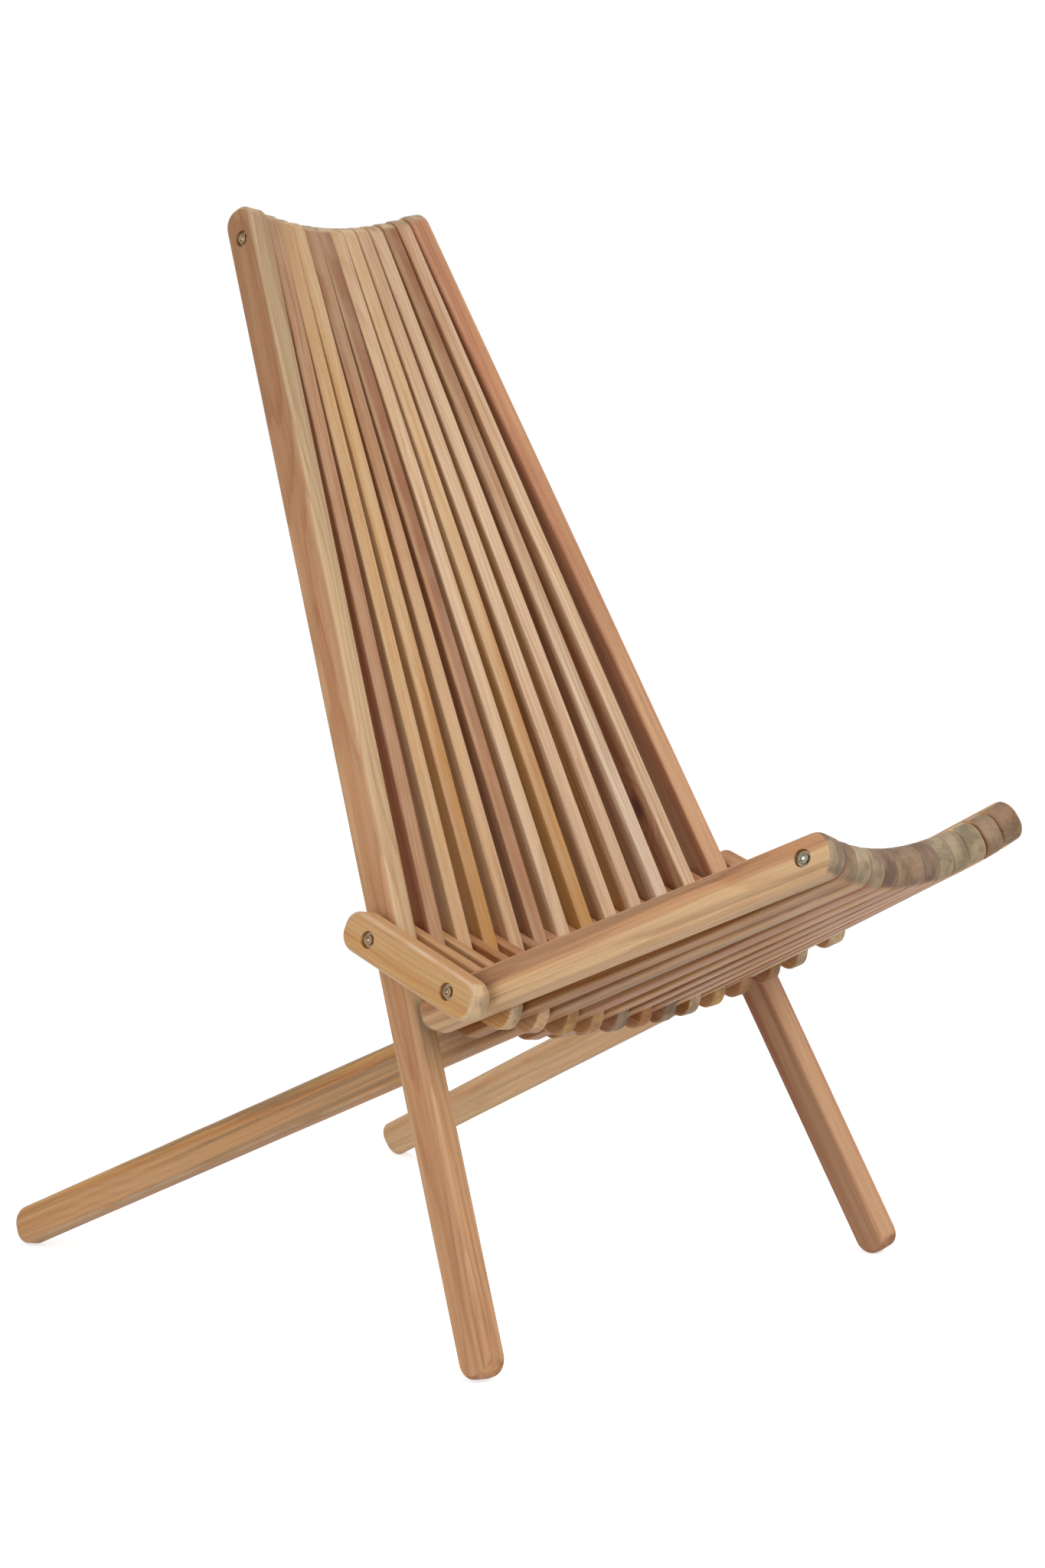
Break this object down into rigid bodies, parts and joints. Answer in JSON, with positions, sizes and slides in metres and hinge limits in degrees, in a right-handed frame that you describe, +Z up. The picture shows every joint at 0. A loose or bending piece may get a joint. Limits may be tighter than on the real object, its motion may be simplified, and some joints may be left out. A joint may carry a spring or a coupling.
{
  "type": "lounge chair",
  "caption": "Folding lounge chair of slim teak sticks strung side by side on steel cables, with fanned, hollowed seat and back on crossed legs.",
  "frame": {"origin": "on the floor under the middle of the chair: the centre of the bounding box at its base", "axes": "+Z up; the chair faces -Y, so -Y is to its front and -X to the sitter's right"},
  "size_m": [0.5118, 0.8366, 0.9075],
  "materials": {
    "teak_honey": "oiled, weathered",
    "teak_brown": "oiled, weathered",
    "teak_pale": "oiled, weathered",
    "cable_steel": "dull"
  },
  "bodies": {
    "back": {"back_stick_01": "teak_brown", "back_stick_02": "teak_pale", "back_stick_03": "teak_honey", "back_stick_04": "teak_honey", "back_stick_05": "teak_pale", "back_stick_06": "teak_honey", "back_stick_07": "teak_honey", "back_stick_08": "teak_pale", "back_stick_09": "teak_honey", "back_stick_10": "teak_honey", "back_stick_11": "teak_pale", "back_stick_12": "teak_honey", "back_stick_13": "teak_brown", "cable_head": "cable_steel", "cable_back_hinge": "cable_steel", "washer_head_right": "cable_steel", "ferrule_head_right": "cable_steel", "washer_head_left": "cable_steel", "ferrule_head_left": "cable_steel"},
    "turning_link_01": {"link_01": "teak_honey", "washer_back_hinge_right": "cable_steel", "ferrule_back_hinge_right": "cable_steel", "washer_seat_hinge_right": "cable_steel", "ferrule_seat_hinge_right": "cable_steel"},
    "turning_link_02": {"link_02": "teak_pale"},
    "turning_link_03": {"link_03": "teak_honey"},
    "turning_link_04": {"link_04": "teak_honey"},
    "turning_link_05": {"link_05": "teak_pale"},
    "turning_link_06": {"link_06": "teak_honey"},
    "turning_link_07": {"link_07": "teak_honey", "cable_seat_hinge": "cable_steel"},
    "turning_link_08": {"link_08": "teak_pale"},
    "turning_link_09": {"link_09": "teak_honey"},
    "turning_link_10": {"link_10": "teak_honey"},
    "turning_link_11": {"link_11": "teak_pale"},
    "turning_link_12": {"link_12": "teak_honey"},
    "turning_link_13": {"link_13": "teak_honey"},
    "turning_link_14": {"link_14": "teak_pale", "washer_back_hinge_left": "cable_steel", "ferrule_back_hinge_left": "cable_steel", "washer_seat_hinge_left": "cable_steel", "ferrule_seat_hinge_left": "cable_steel"},
    "turning_seat_01": {"seat_stick_01": "teak_honey", "washer_seat_front_right": "cable_steel", "ferrule_seat_front_right": "cable_steel"},
    "turning_seat_02": {"seat_stick_02": "teak_pale"},
    "turning_seat_03": {"seat_stick_03": "teak_brown"},
    "turning_seat_04": {"seat_stick_04": "teak_honey"},
    "turning_seat_05": {"seat_stick_05": "teak_pale"},
    "turning_seat_06": {"seat_stick_06": "teak_honey"},
    "turning_seat_07": {"seat_stick_07": "teak_honey", "cable_seat_front": "cable_steel"},
    "turning_seat_08": {"seat_stick_08": "teak_pale"},
    "turning_seat_09": {"seat_stick_09": "teak_honey"},
    "turning_seat_10": {"seat_stick_10": "teak_honey"},
    "turning_seat_11": {"seat_stick_11": "teak_brown"},
    "turning_seat_12": {"seat_stick_12": "teak_honey"},
    "turning_seat_13": {"seat_stick_13": "teak_honey", "washer_seat_front_left": "cable_steel", "ferrule_seat_front_left": "cable_steel"}
  },
  "joints": [
    {"name": "link_01_turn", "type": "hinge", "parent": "back", "child": "turning_link_01", "pos_m": [-0.21797, -0.04248, 0.32131], "axis": [0.9888, 0.0366, -0.1445], "range_deg": [0, 12]},
    {"name": "link_02_turn", "type": "hinge", "parent": "back", "child": "turning_link_02", "pos_m": [-0.17402, -0.03751, 0.30742], "axis": [0.9919, 0.0261, -0.1244], "range_deg": [0, 12]},
    {"name": "link_03_turn", "type": "hinge", "parent": "back", "child": "turning_link_03", "pos_m": [-0.1404, -0.03447, 0.2989], "axis": [0.9944, 0.0143, -0.1045], "range_deg": [0, 12]},
    {"name": "link_04_turn", "type": "hinge", "parent": "back", "child": "turning_link_04", "pos_m": [-0.10766, -0.03213, 0.29235], "axis": [0.9967, 0.0358, -0.0731], "range_deg": [0, 12]},
    {"name": "link_05_turn", "type": "hinge", "parent": "back", "child": "turning_link_05", "pos_m": [-0.0758, -0.03045, 0.28763], "axis": [0.9983, 0.0249, -0.0526], "range_deg": [0, 12]},
    {"name": "link_06_turn", "type": "hinge", "parent": "back", "child": "turning_link_06", "pos_m": [-0.04482, -0.02937, 0.28462], "axis": [0.9994, 0.0146, -0.0317], "range_deg": [0, 12]},
    {"name": "link_07_turn", "type": "hinge", "parent": "back", "child": "turning_link_07", "pos_m": [-0.01472, -0.02885, 0.28318], "axis": [0.9999, 0.0048, -0.0106], "range_deg": [0, 12], "deforming": ["cable_seat_hinge"]},
    {"name": "link_08_turn", "type": "hinge", "parent": "back", "child": "turning_link_08", "pos_m": [0.01472, -0.02885, 0.28318], "axis": [0.9999, -0.0048, 0.0106], "range_deg": [0, 12]},
    {"name": "link_09_turn", "type": "hinge", "parent": "back", "child": "turning_link_09", "pos_m": [0.04482, -0.02937, 0.28462], "axis": [0.9994, -0.0146, 0.0317], "range_deg": [0, 12]},
    {"name": "link_10_turn", "type": "hinge", "parent": "back", "child": "turning_link_10", "pos_m": [0.0758, -0.03045, 0.28763], "axis": [0.9983, -0.0249, 0.0526], "range_deg": [0, 12]},
    {"name": "link_11_turn", "type": "hinge", "parent": "back", "child": "turning_link_11", "pos_m": [0.10766, -0.03213, 0.29235], "axis": [0.9967, -0.0358, 0.0731], "range_deg": [0, 12]},
    {"name": "link_12_turn", "type": "hinge", "parent": "back", "child": "turning_link_12", "pos_m": [0.1404, -0.03447, 0.2989], "axis": [0.9944, -0.0143, 0.1045], "range_deg": [0, 12]},
    {"name": "link_13_turn", "type": "hinge", "parent": "back", "child": "turning_link_13", "pos_m": [0.17402, -0.03751, 0.30742], "axis": [0.9919, -0.0261, 0.1244], "range_deg": [0, 12]},
    {"name": "link_14_turn", "type": "hinge", "parent": "back", "child": "turning_link_14", "pos_m": [0.21797, -0.04248, 0.32131], "axis": [0.9888, -0.0366, 0.1445], "range_deg": [0, 12]},
    {"name": "seat_01_turn", "type": "hinge", "parent": "turning_link_01", "child": "turning_seat_01", "pos_m": [-0.19533, -0.12804, 0.28312], "axis": [-0.9529, -0.1845, 0.2409], "range_deg": [0, 103]},
    {"name": "seat_02_turn", "type": "hinge", "parent": "turning_link_02", "child": "turning_seat_02", "pos_m": [-0.15875, -0.1246, 0.27303], "axis": [-0.9687, -0.1493, 0.1982], "range_deg": [0, 103]},
    {"name": "seat_03_turn", "type": "hinge", "parent": "turning_link_03", "child": "turning_seat_03", "pos_m": [-0.12436, -0.12201, 0.26545], "axis": [-0.9809, -0.1155, 0.1564], "range_deg": [0, 103]},
    {"name": "seat_04_turn", "type": "hinge", "parent": "turning_link_04", "child": "turning_seat_04", "pos_m": [-0.09081, -0.12009, 0.25982], "axis": [-0.9898, -0.0835, 0.1156], "range_deg": [0, 103]},
    {"name": "seat_05_turn", "type": "hinge", "parent": "turning_link_05", "child": "turning_seat_05", "pos_m": [-0.0597, -0.11884, 0.25618], "axis": [-0.9957, -0.0534, 0.0759], "range_deg": [0, 103]},
    {"name": "seat_06_turn", "type": "hinge", "parent": "turning_link_06", "child": "turning_seat_06", "pos_m": [-0.02943, -0.11812, 0.25407], "axis": [-0.999, -0.0255, 0.0373], "range_deg": [0, 103]},
    {"name": "seat_07_turn", "type": "hinge", "parent": "turning_link_07", "child": "turning_seat_07", "pos_m": [0, -0.11789, 0.2534], "axis": [-1, 0, 0], "range_deg": [0, 103], "deforming": ["cable_seat_front"]},
    {"name": "seat_08_turn", "type": "hinge", "parent": "turning_link_09", "child": "turning_seat_08", "pos_m": [0.02943, -0.11812, 0.25407], "axis": [-0.999, 0.0255, -0.0373], "range_deg": [0, 103]},
    {"name": "seat_09_turn", "type": "hinge", "parent": "turning_link_10", "child": "turning_seat_09", "pos_m": [0.0597, -0.11884, 0.25618], "axis": [-0.9957, 0.0534, -0.0759], "range_deg": [0, 103]},
    {"name": "seat_10_turn", "type": "hinge", "parent": "turning_link_11", "child": "turning_seat_10", "pos_m": [0.09081, -0.12009, 0.25982], "axis": [-0.9898, 0.0835, -0.1156], "range_deg": [0, 103]},
    {"name": "seat_11_turn", "type": "hinge", "parent": "turning_link_12", "child": "turning_seat_11", "pos_m": [0.12436, -0.12201, 0.26545], "axis": [-0.9809, 0.1155, -0.1564], "range_deg": [0, 103]},
    {"name": "seat_12_turn", "type": "hinge", "parent": "turning_link_13", "child": "turning_seat_12", "pos_m": [0.15875, -0.1246, 0.27303], "axis": [-0.9687, 0.1493, -0.1982], "range_deg": [0, 103]},
    {"name": "seat_13_turn", "type": "hinge", "parent": "turning_link_14", "child": "turning_seat_13", "pos_m": [0.19533, -0.12804, 0.28312], "axis": [-0.9529, 0.1845, -0.2409], "range_deg": [0, 103]}
  ],
  "couplings": [
    {"joint": "link_01_turn", "follows": "seat_03_turn", "ratio": 0.1165},
    {"joint": "link_02_turn", "follows": "seat_03_turn", "ratio": 0.1165},
    {"joint": "link_03_turn", "follows": "seat_03_turn", "ratio": 0.1165},
    {"joint": "link_04_turn", "follows": "seat_03_turn", "ratio": 0.1165},
    {"joint": "link_05_turn", "follows": "seat_03_turn", "ratio": 0.1165},
    {"joint": "link_06_turn", "follows": "seat_03_turn", "ratio": 0.1165},
    {"joint": "link_07_turn", "follows": "seat_03_turn", "ratio": 0.1165},
    {"joint": "link_08_turn", "follows": "seat_03_turn", "ratio": 0.1165},
    {"joint": "link_09_turn", "follows": "seat_03_turn", "ratio": 0.1165},
    {"joint": "link_10_turn", "follows": "seat_03_turn", "ratio": 0.1165},
    {"joint": "link_11_turn", "follows": "seat_03_turn", "ratio": 0.1165},
    {"joint": "link_12_turn", "follows": "seat_03_turn", "ratio": 0.1165},
    {"joint": "link_13_turn", "follows": "seat_03_turn", "ratio": 0.1165},
    {"joint": "link_14_turn", "follows": "seat_03_turn", "ratio": 0.1165},
    {"joint": "seat_01_turn", "follows": "seat_03_turn", "ratio": 1},
    {"joint": "seat_02_turn", "follows": "seat_03_turn", "ratio": 1},
    {"joint": "seat_04_turn", "follows": "seat_03_turn", "ratio": 1},
    {"joint": "seat_05_turn", "follows": "seat_03_turn", "ratio": 1},
    {"joint": "seat_06_turn", "follows": "seat_03_turn", "ratio": 1},
    {"joint": "seat_07_turn", "follows": "seat_03_turn", "ratio": 1},
    {"joint": "seat_08_turn", "follows": "seat_03_turn", "ratio": 1},
    {"joint": "seat_09_turn", "follows": "seat_03_turn", "ratio": 1},
    {"joint": "seat_10_turn", "follows": "seat_03_turn", "ratio": 1},
    {"joint": "seat_11_turn", "follows": "seat_03_turn", "ratio": 1},
    {"joint": "seat_12_turn", "follows": "seat_03_turn", "ratio": 1},
    {"joint": "seat_13_turn", "follows": "seat_03_turn", "ratio": 1}
  ]
}
